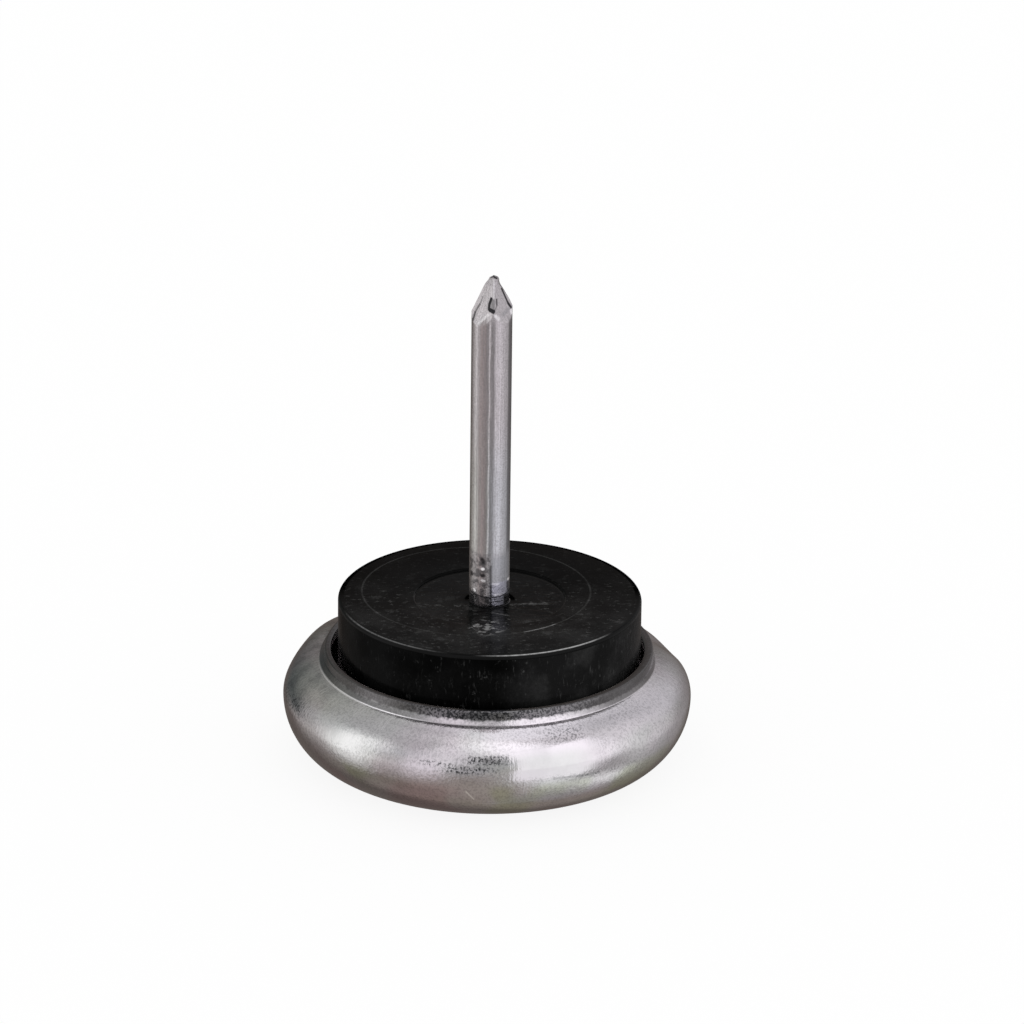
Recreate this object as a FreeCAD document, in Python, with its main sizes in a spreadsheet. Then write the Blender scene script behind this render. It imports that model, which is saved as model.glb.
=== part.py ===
import FreeCAD, Part
import math
import os
import Sketcher

# A nail-on furniture glide: a nail in a rubber cushion, the cushion held in a drawn steel base cup.
# All sizes are in millimetres. The foot stands on z = 0 and the nail points up the z axis.

# Driving sizes: alias, value, what it measures
SIZES = [
    ("base_diameter", 27.0, "base cup over the widest part of its roll"),
    ("rim_width", 3.55, "from the cushion's side out to the widest part of the roll"),
    ("sheet_thickness", 0.5, "steel sheet of the base cup"),
    ("foot_roll_radius", 4.0, "outer radius of the roll from the foot to the side"),
    ("side_land", 0.16, "straight band at the widest part of the roll"),
    ("crown_rise", 2.41, "from the top of that band up to the crease"),
    ("shoulder_sweep", 52.0, "degrees turned by the tight arc above the band"),
    ("crown_slope", 12.0, "degrees by which the crown still climbs at the crease"),
    ("crease_reach", 1.1, "from the cushion's side out to the crease that ends the crown"),
    ("flare_width", 0.22, "sloping foot of the collar, between the crease and the bend above it"),
    ("flare_height", 0.26, "height of that foot"),
    ("collar_height", 0.88, "collar's edge above the crease"),
    ("collar_gap", 0.3, "between the cushion's side and the collar"),
    ("lip_break", 0.12, "chamfers of the collar's cut edge"),
    ("cushion_height", 10.95, "top of the cushion above the floor"),
    ("cushion_edge", 0.15, "chamfer of the cushion's top edge"),
    ("recess_diameter", 9.9, "shallow recess round the nail"),
    ("recess_depth", 0.25, "depth of that recess"),
    ("recess_edge", 0.1, "chamfer of the recess's edge"),
    ("flange_inset", 1.4, "from the cup's inner wall in to the cushion's flange"),
    ("flange_clearance", 0.32, "between the flange and the sheet at the crease above it"),
    ("flange_edge", 0.5, "chamfer of the flange"),
    ("cup_clearance", 0.1, "between the cushion and the cup's inner roll"),
    ("shank_diameter", 2.64, "nail's shank"),
    ("neck_diameter", 3.1, "thicker length of the nail inside the cushion"),
    ("neck_taper", 0.2, "height of the cone from the neck to the shank"),
    ("neck_clearance", 0.02, "between the neck and the cushion's hole"),
    ("head_diameter", 6.6, "nail's head"),
    ("head_thickness", 1.0, "nail's head"),
    ("head_edge", 0.2, "chamfers of the head"),
    ("head_lift", 1.0, "room under the head, so that the rubber can give"),
    ("nail_reach", 22.4, "nail's tip above the cushion's top"),
    ("point_length", 3.47, "nail's point, from the tip to the middle of a facet's lower edge"),
    ("point_width", 0.334, "square that the four facets leave at the tip"),
    ("point_round", 0.25, "rounding of the tip"),
    ("point_offset", 0.1, "tip's distance from the shank's axis, left by the dies"),
    ("washer_diameter", 14.0, "backing washer under the head"),
    ("washer_thickness", 1.0, "backing washer"),
    ("washer_edge", 0.15, "chamfers of the washer's rim"),
    ("washer_hole_clearance", 0.15, "between the washer's hole and the nail's neck"),
    ("pocket_clearance", 0.1, "between the washer and the cushion's pocket"),
]

# Sizes that follow from the driving ones: alias, formula
DERIVED = [
    ("base_radius", "base_diameter / 2"),
    ("cushion_radius", "base_radius - rim_width"),
    ("foot_radius", "base_radius - foot_roll_radius"),
    ("land_top", "foot_roll_radius + side_land"),
    ("crease_radius", "cushion_radius + crease_reach"),
    ("crease_height", "land_top + crown_rise"),
    ("bend_radius", "crease_radius - flare_width"),
    ("bend_height", "crease_height + flare_height"),
    ("lip_radius", "cushion_radius + collar_gap + sheet_thickness"),
    ("lip_height", "crease_height + collar_height"),
    # The shoulder's and the crown's arcs both turn by given angles, so their radii follow
    # from the width and the rise between the side and the crease
    ("arcs_width", "base_radius - crease_radius"),
    ("shoulder_width_share", "1 - cos(shoulder_sweep)"),
    ("shoulder_rise_share", "sin(shoulder_sweep)"),
    ("crown_width_share", "cos(shoulder_sweep) - sin(crown_slope)"),
    ("crown_rise_share", "cos(crown_slope) - sin(shoulder_sweep)"),
    (
        "arcs_divisor",
        "shoulder_width_share * crown_rise_share - crown_width_share * shoulder_rise_share",
    ),
    (
        "shoulder_radius",
        "(arcs_width * crown_rise_share - crown_rise * crown_width_share) / arcs_divisor",
    ),
    (
        "crown_radius",
        "(crown_rise * shoulder_width_share - arcs_width * shoulder_rise_share) / arcs_divisor",
    ),
    # The cup's inner skin follows the outer one in straight steps, at least a sheet's thickness away
    ("inner_side_radius", "base_radius - sheet_thickness"),
    ("inner_roll", "foot_roll_radius - sheet_thickness"),
    ("low_step_radius", "foot_radius + inner_roll * sin(30)"),
    ("low_step_height", "foot_roll_radius - inner_roll * cos(30)"),
    ("high_step_radius", "foot_radius + inner_roll * sin(60)"),
    ("high_step_height", "foot_roll_radius - inner_roll * cos(60)"),
    ("inner_shoulder", "shoulder_radius - sheet_thickness"),
    ("shoulder_centre_radius", "base_radius - shoulder_radius"),
    ("shoulder_step_radius", "shoulder_centre_radius + inner_shoulder * cos(shoulder_sweep / 2)"),
    ("shoulder_step_height", "land_top + inner_shoulder * sin(shoulder_sweep / 2)"),
    ("crown_step_radius", "shoulder_centre_radius + inner_shoulder * cos(shoulder_sweep)"),
    ("crown_step_height", "land_top + inner_shoulder * sin(shoulder_sweep)"),
    # A corner of the inner skin lies where the two runs of sheet that meet there, each moved in
    # by the sheet's thickness, cross. A run's tilt is its lean inwards from upright, in degrees
    ("flare_tilt", "atan(flare_width / flare_height) / 1 deg"),
    ("collar_tilt", "atan((bend_radius - lip_radius) / (lip_height - bend_height)) / 1 deg"),
    ("crease_turn", "(90 - crown_slope - flare_tilt) / 2"),
    ("crease_offset", "sheet_thickness / cos(crease_turn)"),
    ("inner_crease_radius", "crease_radius - crease_offset * cos(flare_tilt + crease_turn)"),
    ("inner_crease_height", "crease_height - crease_offset * sin(flare_tilt + crease_turn)"),
    ("bend_turn", "(flare_tilt - collar_tilt) / 2"),
    ("bend_offset", "sheet_thickness / cos(bend_turn)"),
    ("inner_bend_radius", "bend_radius - bend_offset * cos(collar_tilt + bend_turn)"),
    ("inner_bend_height", "bend_height - bend_offset * sin(collar_tilt + bend_turn)"),
    ("inner_lip_radius", "lip_radius - sheet_thickness * cos(collar_tilt)"),
    ("inner_lip_height", "lip_height - sheet_thickness * sin(collar_tilt)"),
    ("flange_radius", "base_radius - sheet_thickness - flange_inset"),
    ("flange_height", "crease_height - sheet_thickness - flange_clearance"),
    ("rubber_foot_radius", "foot_radius - cup_clearance"),
    (
        "nest_slope",
        "(high_step_height - low_step_height) / (high_step_radius - low_step_radius)",
    ),
    (
        "nest_height",
        "low_step_height + (flange_radius - low_step_radius) * nest_slope + cup_clearance",
    ),
    ("recess_radius", "recess_diameter / 2"),
    ("recess_floor", "cushion_height - recess_depth"),
    ("shank_radius", "shank_diameter / 2"),
    ("neck_radius", "neck_diameter / 2"),
    ("hole_radius", "neck_radius + neck_clearance"),
    ("mouth_radius", "shank_radius + neck_clearance"),
    ("head_radius", "head_diameter / 2"),
    ("head_bottom", "sheet_thickness + head_lift"),
    ("head_top", "head_bottom + head_thickness"),
    ("washer_radius", "washer_diameter / 2"),
    ("washer_hole_radius", "neck_radius + washer_hole_clearance"),
    ("washer_top", "head_top + washer_thickness"),
    ("pocket_radius", "washer_radius + pocket_clearance"),
    ("neck_top", "recess_floor - neck_taper"),
    ("tip_height", "cushion_height + nail_reach"),
    ("dome_edge_radius", "point_round * cos(45)"),
    ("dome_edge_height", "tip_height - point_round + point_round * cos(45)"),
    ("blank_shoulder_height", "dome_edge_height - shank_radius + dome_edge_radius"),
    ("point_spread", "(shank_radius - point_width / 2) / point_length"),
    ("point_base_width", "point_width + 2 * point_spread * tip_height"),
]

doc = FreeCAD.newDocument("furniture_glide")
sheet = doc.addObject("Spreadsheet::Sheet", "sizes")


def fill_sheet():
    """Write every size, with its alias, in the document's spreadsheet."""
    rows = [(alias, str(value)) for alias, value, _ in SIZES]
    rows += [(alias, "=" + formula) for alias, formula in DERIVED]
    for number, (alias, content) in enumerate(rows, start=1):
        sheet.set(f"A{number}", alias)
        sheet.set(f"B{number}", content)
        sheet.setAlias(f"B{number}", alias)
    doc.recompute()


def size(alias):
    """The value of a size as a plain number."""
    return float(sheet.get(alias))


def bind(target, path, formula):
    """Tie a property of an object to sizes of the sheet. Each alias in the formula is marked with a @."""
    target.setExpression(path, formula.replace("@", "sizes."))


def new_body(name):
    body = doc.addObject("PartDesign::Body", name)
    body.Label = name
    return body


def origin_feature(body, role):
    return next(item for item in body.Origin.OriginFeatures if item.Role == role)


def new_sketch(body, name, plane):
    sketch = body.newObject("Sketcher::SketchObject", name)
    sketch.AttachmentSupport = [(origin_feature(body, plane), "")]
    sketch.MapMode = "FlatFace"
    return sketch


def vector(x, y):
    return FreeCAD.Vector(x, y, 0)


def constrain(sketch, *args, bound_to=None):
    """Add one constraint and, if a formula is given, tie its value to the sheet."""
    index = sketch.addConstraint(Sketcher.Constraint(*args))
    if bound_to:
        bind(sketch, f"Constraints[{index}]", bound_to)


def pin_point(sketch, geometry, end, radius, height):
    """Fix one point of a sketch at aliases of the sheet: its distance from the axis and its height."""
    for kind, alias in (("DistanceX", radius), ("DistanceY", height)):
        if alias:
            constrain(sketch, kind, -1, 1, geometry, end, size(alias), bound_to="@" + alias)
        else:
            on_axis = -2 if kind == "DistanceX" else -1
            constrain(sketch, "PointOnObject", geometry, end, on_axis)


def draw_outline(sketch, corners):
    """Draw a closed outline of straight lines between corners given as aliases: radius, height."""
    points = [vector(size(r) if r else 0, size(z) if z else 0) for r, z in corners]
    count = len(corners)
    for here in range(count):
        sketch.addGeometry(Part.LineSegment(points[here], points[(here + 1) % count]))
    for here in range(count):
        constrain(sketch, "Coincident", here, 2, (here + 1) % count, 1)
    for here, (radius, height) in enumerate(corners):
        pin_point(sketch, here, 1, radius, height)


def revolve(body, sketch, name):
    """Turn a profile once round the body's own upright axis."""
    turned = body.newObject("PartDesign::Revolution", name)
    turned.Profile = sketch
    turned.ReferenceAxis = (sketch, ["V_Axis"])
    turned.Angle = 360
    doc.recompute()
    return turned


def break_edges(body, base, name, places, size_alias):
    """Chamfer the circular edges found at the given places, each a radius and a height by alias."""
    wanted = [(size(radius), size(height)) for radius, height in places]
    found = []
    for number, edge in enumerate(base.Shape.Edges, start=1):
        if edge.Degenerated or not isinstance(edge.Curve, Part.Circle):
            continue
        here = (edge.Curve.Radius, edge.Curve.Center.z)
        if any(math.dist(here, place) < 1e-5 for place in wanted):
            found.append(f"Edge{number}")
    chamfer = body.newObject("PartDesign::Chamfer", name)
    chamfer.Base = (base, found)
    bind(chamfer, "Size", "@" + size_alias)
    doc.recompute()
    return chamfer


def arc(centre, radius, start_angle, end_angle):
    """An arc that runs anticlockwise between two angles in degrees."""
    circle = Part.Circle(centre, FreeCAD.Vector(0, 0, 1), radius)
    return Part.ArcOfCircle(circle, math.radians(start_angle), math.radians(end_angle))


# Base cup

def draw_cup_section(sketch):
    """The drawn cup: the outer skin from the foot to the lip, then the inner skin back down."""
    foot, wide = size("foot_radius"), size("base_radius")
    roll, land_top = size("foot_roll_radius"), size("land_top")
    shoulder, crown = size("shoulder_radius"), size("crown_radius")
    low, high = size("shoulder_sweep"), 90 - size("crown_slope")
    shoulder_centre = vector(wide - shoulder, land_top)
    joint_spoke = vector(math.cos(math.radians(low)), math.sin(math.radians(low)))
    crown_centre = shoulder_centre - joint_spoke * (crown - shoulder)
    outer = [
        Part.LineSegment(vector(0, 0), vector(foot, 0)),
        arc(vector(foot, roll), roll, -90, 0),
        Part.LineSegment(vector(wide, roll), vector(wide, land_top)),
        arc(shoulder_centre, shoulder, 0, low),
        arc(crown_centre, crown, low, high),
    ]
    corners = [
        ("crease_radius", "crease_height"),
        ("bend_radius", "bend_height"),
        ("lip_radius", "lip_height"),
        ("inner_lip_radius", "inner_lip_height"),
        ("inner_bend_radius", "inner_bend_height"),
        ("inner_crease_radius", "inner_crease_height"),
        ("crown_step_radius", "crown_step_height"),
        ("shoulder_step_radius", "shoulder_step_height"),
        ("inner_side_radius", "land_top"),
        ("inner_side_radius", "foot_roll_radius"),
        ("high_step_radius", "high_step_height"),
        ("low_step_radius", "low_step_height"),
        ("foot_radius", "sheet_thickness"),
        (None, "sheet_thickness"),
        (None, None),
    ]
    points = [vector(size(r) if r else 0, size(z) if z else 0) for r, z in corners]
    lines = [Part.LineSegment(start, end) for start, end in zip(points, points[1:])]
    sketch.addGeometry(outer + lines)

    curved = len(outer) - 1
    for here in range(curved):
        constrain(sketch, "Tangent", here, 2, here + 1, 1)
    for here in range(curved, curved + len(lines)):
        constrain(sketch, "Coincident", here, 2, here + 1, 1)
    constrain(sketch, "Coincident", curved + len(lines), 2, 0, 1)
    constrain(sketch, "Horizontal", 0)
    pin_point(sketch, 2, 1, "base_radius", "foot_roll_radius")
    constrain(sketch, "DistanceY", 2, 1, 2, 2, size("side_land"), bound_to="@side_land")
    constrain(sketch, "Radius", 1, roll, bound_to="@foot_roll_radius")
    constrain(sketch, "Angle", 3, math.radians(low), bound_to="@shoulder_sweep * 1 deg")
    constrain(
        sketch, "Angle", 4, math.radians(high - low),
        bound_to="(90 - @crown_slope - @shoulder_sweep) * 1 deg",
    )
    for number, (radius, height) in enumerate(corners):
        pin_point(sketch, curved + number, 2, radius, height)


def build_base_cup():
    body = new_body("base_cup")
    section = new_sketch(body, "cup_section", "XZ_Plane")
    draw_cup_section(section)
    drawn = revolve(body, section, "drawn_cup")
    corners = [("lip_radius", "lip_height"), ("inner_lip_radius", "inner_lip_height")]
    break_edges(body, drawn, "lip_chamfers", corners, "lip_break")
    return body


# Rubber cushion

def build_cushion():
    """A round puck on a flange, coned below to nest in the cup. Its hole closes on the shank."""
    body = new_body("rubber_cushion")
    section = new_sketch(body, "cushion_section", "XZ_Plane")
    draw_outline(section, [
        ("pocket_radius", "sheet_thickness"),
        ("rubber_foot_radius", "sheet_thickness"),
        ("flange_radius", "nest_height"),
        ("flange_radius", "flange_height"),
        ("cushion_radius", "flange_height"),
        ("cushion_radius", "cushion_height"),
        ("recess_radius", "cushion_height"),
        ("recess_radius", "recess_floor"),
        ("mouth_radius", "recess_floor"),
        ("hole_radius", "neck_top"),
        ("hole_radius", "washer_top"),
        ("pocket_radius", "washer_top"),
    ])
    moulded = revolve(body, section, "moulded_cushion")
    top = [("cushion_radius", "cushion_height")]
    broken = break_edges(body, moulded, "top_edge", top, "cushion_edge")
    recess = [("recess_radius", "cushion_height")]
    broken = break_edges(body, broken, "recess_lip", recess, "recess_edge")
    flange = [("flange_radius", "flange_height")]
    break_edges(body, broken, "flange_corner", flange, "flange_edge")
    return body


# Backing washer

def build_washer():
    body = new_body("nail_washer")
    section = new_sketch(body, "washer_section", "XZ_Plane")
    draw_outline(section, [
        ("washer_hole_radius", "head_top"),
        ("washer_radius", "head_top"),
        ("washer_radius", "washer_top"),
        ("washer_hole_radius", "washer_top"),
    ])
    blank = revolve(body, section, "punched_ring")
    rims = [("washer_radius", "head_top"), ("washer_radius", "washer_top")]
    break_edges(body, blank, "washer_rims", rims, "washer_edge")
    return body


# Nail

def build_nail_blank():
    """Head, neck and shank, with a domed end that the point is then cut from."""
    body = new_body("nail_blank")
    section = new_sketch(body, "nail_section", "XZ_Plane")
    corners = [
        (None, "head_bottom"),
        ("head_radius", "head_bottom"),
        ("head_radius", "head_top"),
        ("neck_radius", "head_top"),
        ("neck_radius", "neck_top"),
        ("shank_radius", "recess_floor"),
        ("shank_radius", "blank_shoulder_height"),
        ("dome_edge_radius", "dome_edge_height"),
    ]
    points = [vector(size(r) if r else 0, size(z)) for r, z in corners]
    for start, end in zip(points, points[1:]):
        section.addGeometry(Part.LineSegment(start, end))
    tip = vector(0, size("tip_height"))
    dome_centre = vector(0, size("tip_height") - size("point_round"))
    section.addGeometry(arc(dome_centre, size("point_round"), 45, 90))
    section.addGeometry(Part.LineSegment(tip, points[0]))
    dome, axis_line = len(points) - 1, len(points)
    for here in range(dome):
        constrain(section, "Coincident", here, 2, here + 1, 1)
    constrain(section, "Coincident", dome, 2, axis_line, 1)
    constrain(section, "Coincident", axis_line, 2, 0, 1)
    for here, (radius, height) in enumerate(corners):
        pin_point(section, here, 1, radius, height)
    pin_point(section, axis_line, 1, None, "tip_height")
    constrain(section, "PointOnObject", dome, 3, -2)
    blank = revolve(body, section, "headed_wire")
    rims = [("head_radius", "head_bottom"), ("head_radius", "head_top")]
    break_edges(body, blank, "head_rims", rims, "head_edge")
    return body


def build_point_die():
    """The four-sided pyramid that the pointing dies leave, one of its ridges at the front."""
    body = new_body("point_die")
    pyramid = body.newObject("PartDesign::AdditiveWedge", "facets")
    pyramid.AttachmentSupport = [(origin_feature(body, "XZ_Plane"), "")]
    pyramid.MapMode = "FlatFace"
    bind(pyramid, "Ymin", "0 mm")
    bind(pyramid, "Ymax", "@tip_height * 1 mm")
    for low, high, width in (("min", "max", "point_base_width"), ("2min", "2max", "point_width")):
        for across in ("X", "Z"):
            bind(pyramid, across + low, f"-@{width} / 2 * 1 mm")
            bind(pyramid, across + high, f"@{width} / 2 * 1 mm")
    body.Placement.Rotation = FreeCAD.Rotation(FreeCAD.Vector(0, 0, 1), 45)
    bind(body, "Placement.Base.x", "@point_offset * 1 mm")
    doc.recompute()
    return body


def build_nail():
    """The blank, cut to what the dies leave of it."""
    nail = doc.addObject("Part::Common", "nail")
    nail.Base = build_nail_blank()
    nail.Tool = build_point_die()
    nail.Label = "nail"
    doc.recompute()
    return nail


# Checks and export

def check_document(pieces):
    """Stop if any object has failed or any piece isn't one valid solid."""
    for item in doc.Objects:
        failed = {"Invalid", "Error"} & set(item.State)
        if failed:
            raise SystemExit(f"{item.Name} is {', '.join(sorted(failed))}")
        if item.isDerivedFrom("Sketcher::SketchObject") and item.solve() != 0:
            raise SystemExit(f"the sketch {item.Name} has no solution")
    for piece in pieces:
        shape = piece.Shape
        if shape.isNull() or not shape.isValid() or len(shape.Solids) != 1:
            raise SystemExit(f"{piece.Label} isn't one valid solid")


def export(pieces):
    os.makedirs("parts", exist_ok=True)
    for piece in pieces:
        piece.Shape.exportStep(os.path.join("parts", piece.Label + ".step"))
        box = piece.Shape.optimalBoundingBox()
        print(
            f"{piece.Label}: volume {piece.Shape.Volume:.2f}, radius {box.XMax:.3f},"
            f" z {box.ZMin:.3f} to {box.ZMax:.3f}"
        )


fill_sheet()
all_pieces = [build_base_cup(), build_cushion(), build_washer(), build_nail()]
doc.recompute()
check_document(all_pieces)
export(all_pieces)
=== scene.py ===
import math

import bpy
from mathutils import Matrix, Quaternion, Vector


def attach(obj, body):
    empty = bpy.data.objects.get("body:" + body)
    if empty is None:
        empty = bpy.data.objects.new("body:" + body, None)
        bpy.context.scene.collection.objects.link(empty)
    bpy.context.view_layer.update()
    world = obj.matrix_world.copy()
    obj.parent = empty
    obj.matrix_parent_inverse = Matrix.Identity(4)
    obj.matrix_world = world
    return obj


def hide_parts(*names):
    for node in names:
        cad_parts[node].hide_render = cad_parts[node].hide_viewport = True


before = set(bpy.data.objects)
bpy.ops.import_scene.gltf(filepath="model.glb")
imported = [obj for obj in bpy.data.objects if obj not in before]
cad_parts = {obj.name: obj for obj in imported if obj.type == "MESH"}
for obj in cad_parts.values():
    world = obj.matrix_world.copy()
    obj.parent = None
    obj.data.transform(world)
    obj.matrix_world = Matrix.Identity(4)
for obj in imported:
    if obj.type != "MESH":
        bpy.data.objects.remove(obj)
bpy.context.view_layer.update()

# A nail-on furniture glide, dressed for the photograph. Shapes are given in millimetres.

MM = 0.001

# Sizes of the dressed pieces. The base, its collar and the nail's point follow the photograph's
# outline, so they differ a little from the part's own sizes. The others are the part's.
BASE_RADIUS = 13.42
SHEET = 0.5
ROLL_WIDTH, ROLL_HEIGHT = 3.9, 4.16
CROWN_WIDTH, CROWN_RISE = 3.54, 2.49
CREASE_RADIUS = 11.05
BEND_RADIUS, BEND_HEIGHT = 10.83, 6.83
LIP_RADIUS, LIP_HEIGHT = 10.78, 7.42
CUSHION_RADIUS, CUSHION_TOP = 9.95, 10.95
FLANGE_RADIUS, FLANGE_TOP = 11.6, 5.75
RUBBER_FOOT_RADIUS, NEST_HEIGHT = 9.4, 1.42
RECESS_RADIUS, RECESS_FLOOR = 4.95, 10.70
POCKET_RADIUS, WASHER_TOP = 7.1, 3.5
SHANK_RADIUS, NECK_RADIUS, HOLE_RADIUS, MOUTH_RADIUS = 1.32, 1.55, 1.57, 1.34
NECK_TAPER = 0.2
HEAD_RADIUS, HEAD_BOTTOM, HEAD_TOP = 3.3, 1.5, 2.5
TIP_HEIGHT = 33.35
POINT_LENGTH, POINT_WIDTH, POINT_ROUND = 3.47, 0.42, 0.36
POINT_OFFSET = 0.09
# How far from the tip the facets start to bulge, and how strongly
BULGE_START, BULGE = 2.2, 0.2
# The pieces aren't quite centred on each other. Each stands this far to the right of the axis
CUP_ASIDE, CUSHION_ASIDE, NAIL_ASIDE = -0.08, 0.04, -0.01
COLLAR_ASIDE = 0.1

# Faces round each turned piece
CUP_SEGMENTS, CUSHION_SEGMENTS, NAIL_SEGMENTS = 320, 256, 360

# The photograph's frame and what was measured in it
PHOTO_WIDTH = 1024
CUSHION_CENTRE_PIXEL = (489.25, 596.26)
FOCAL_PIXELS = 6868.7
CAMERA_DISTANCE = 450.0
CAMERA_ELEVATION = math.radians(22.79)
CAMERA_ROLL = math.radians(0.59)


# Meshes

def new_object(name, verts, faces, crease_angle):
    """A smooth-shaded mesh object from points in millimetres. Edges sharper than the angle stay crisp."""
    mesh = bpy.data.meshes.new(name)
    mesh.from_pydata([Vector(v) * MM for v in verts], [], faces)
    mesh.validate()
    mesh.update()
    mesh.shade_smooth()
    mesh.set_sharp_from_angle(angle=math.radians(crease_angle))
    piece = bpy.data.objects.new(name, mesh)
    bpy.context.collection.objects.link(piece)
    return piece


def lathe(name, profile, segments, crease_angle, shift=None, aside=0.0, lean=None):
    """Turn a profile of (radius, height) points round an upright axis that stands a little aside."""
    verts, rows = [], []
    for radius, height in profile:
        middle = aside + (lean(height) if lean else 0)
        if radius <= 1e-9:
            rows.append([len(verts)] * segments)
            verts.append(Vector((middle, 0, height)))
            continue
        rows.append(list(range(len(verts), len(verts) + segments)))
        for step in range(segments):
            turn = 2 * math.pi * step / segments
            outward, upward = shift(turn, radius, height) if shift else (0, 0)
            reach = radius + outward
            verts.append(Vector((middle + reach * math.cos(turn), reach * math.sin(turn), height + upward)))
    faces = []
    pairs = list(zip(rows, rows[1:]))
    if profile[0][0] > 1e-9 or profile[-1][0] > 1e-9:
        pairs.append((rows[-1], rows[0]))
    for low, high in pairs:
        for step in range(segments):
            after = (step + 1) % segments
            ring = []
            for corner in (low[step], low[after], high[after], high[step]):
                if corner not in ring:
                    ring.append(corner)
            if len(ring) > 2:
                faces.append(ring)
    return new_object(name, verts, faces, crease_angle)


def ellipse_points(centre_r, centre_z, width, height, start, end, count):
    """Points along an upright ellipse, angles in degrees from the outward direction."""
    points = []
    for step in range(count + 1):
        angle = math.radians(start + (end - start) * step / count)
        points.append((centre_r + width * math.cos(angle), centre_z + height * math.sin(angle)))
    return points


def rounded(corners, steps):
    """A profile whose corners (radius, height, rounding) are replaced by short arcs."""
    profile = []
    count = len(corners)
    for here, (r, z, rounding) in enumerate(corners):
        if rounding == 0:
            profile.append((r, z))
            continue
        corner = Vector((r, z))
        before = Vector(corners[here - 1][:2]) - corner
        after = Vector(corners[(here + 1) % count][:2]) - corner
        half = before.angle(after) / 2
        start = corner + before.normalized() * (rounding / math.tan(half))
        end = corner + after.normalized() * (rounding / math.tan(half))
        inward = (before.normalized() + after.normalized()).normalized()
        middle = corner + inward * (rounding / math.sin(half))
        first, last = start - middle, end - middle
        sweep = first.angle_signed(last)
        for step in range(steps + 1):
            spoke = Matrix.Rotation(-sweep * step / steps, 2) @ first
            profile.append(tuple(middle + spoke))
    return profile


# Materials

class Graph:
    """Short names for building a node tree."""

    def __init__(self, tree):
        self.tree = tree
        tree.nodes.clear()

    def add(self, kind, inputs=None, **settings):
        node = self.tree.nodes.new(kind)
        for key, value in settings.items():
            setattr(node, key, value)
        for key, value in (inputs or {}).items():
            self.feed(node.inputs[key], value)
        return node

    def feed(self, socket, value):
        if isinstance(value, bpy.types.NodeSocket):
            self.tree.links.new(value, socket)
        else:
            socket.default_value = value

    def math(self, operation, a, b=0.0):
        return self.add("ShaderNodeMath", {0: a, 1: b}, operation=operation).outputs[0]

    def times(self, *factors):
        """The product of several numbers."""
        product = factors[0]
        for factor in factors[1:]:
            product = self.math("MULTIPLY", product, factor)
        return product

    def most(self, *shares):
        """The largest of several shares."""
        top = shares[0]
        for share in shares[1:]:
            top = self.math("MAXIMUM", top, share)
        return top

    def rest(self, share):
        """What a share leaves of 1."""
        return self.math("SUBTRACT", 1.0, share)

    def distance(self, value, centre):
        """How far a value lies from another, either way."""
        return self.math("ABSOLUTE", self.math("SUBTRACT", value, centre))

    def smooth(self, value, low, high, out_low=0.0, out_high=1.0):
        """A soft step of a value from one number to another."""
        node = self.add(
            "ShaderNodeMapRange",
            {"Value": value, "From Min": low, "From Max": high, "To Min": out_low, "To Max": out_high},
            interpolation_type="SMOOTHSTEP",
        )
        return node.outputs["Result"]

    def mix(self, share, a, b):
        node = self.add("ShaderNodeMix", data_type="RGBA")
        self.feed(node.inputs[0], share)
        self.feed(node.inputs[6], a)
        self.feed(node.inputs[7], b)
        return node.outputs[2]

    def cover(self, tint, colour, *shares):
        """A tint with a colour laid over it, as far as the product of the shares."""
        return self.mix(self.times(*shares), tint, colour)

    def noise(self, where, scale, detail, roughness):
        inputs = {"Vector": where, "Scale": scale, "Detail": detail, "Roughness": roughness}
        return self.add("ShaderNodeTexNoise", inputs).outputs["Fac"]

    def vector(self, operation, a, b=(0, 0, 0)):
        node = self.add("ShaderNodeVectorMath", {0: a, 1: b}, operation=operation)
        return node.outputs["Value" if operation in ("LENGTH", "DOT_PRODUCT") else "Vector"]

    def scaled(self, vector, factor):
        node = self.add("ShaderNodeVectorMath", {"Vector": vector, "Scale": factor}, operation="SCALE")
        return node.outputs[0]

    def combine(self, x, y, z=0.0):
        return self.add("ShaderNodeCombineXYZ", {"X": x, "Y": y, "Z": z}).outputs[0]

    def separate(self, where):
        return self.add("ShaderNodeSeparateXYZ", {"Vector": where}).outputs

    def bump(self, height, distance, normal=None):
        """Raise a surface by up to the given millimetres."""
        inputs = {"Height": height, "Strength": 1.0, "Distance": distance * MM}
        if normal:
            inputs["Normal"] = normal
        return self.add("ShaderNodeBump", inputs).outputs[0]

    def ramp(self, value, stops):
        """A run of colours over a value. A stop is a place from 0 to 1 and a colour."""
        node = self.add("ShaderNodeValToRGB", {"Fac": value})
        elements = node.color_ramp.elements
        while len(elements) > 1:
            elements.remove(elements[-1])
        for number, (place, colour) in enumerate(stops):
            element = elements[0] if number == 0 else elements.new(place)
            element.position = place
            element.color = colour
        return node.outputs["Color"]

    def by_turn(self, turn, stops):
        """A run of greys round the axis. A stop is a turn in degrees and a tone."""
        share = self.math("DIVIDE", self.math("ADD", turn, 180.0), 360.0)
        return self.ramp(share, [((angle + 180) / 360, grey(tone)) for angle, tone in stops])


def grey(value):
    return (value, value, value, 1)


def new_material(name):
    material = bpy.data.materials.new(name)
    material.use_nodes = True
    return material, Graph(material.node_tree)


def finish_material(graph, shader):
    graph.add("ShaderNodeOutputMaterial", {"Surface": shader.outputs[0]})


# Surroundings that the metal mirrors

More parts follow.
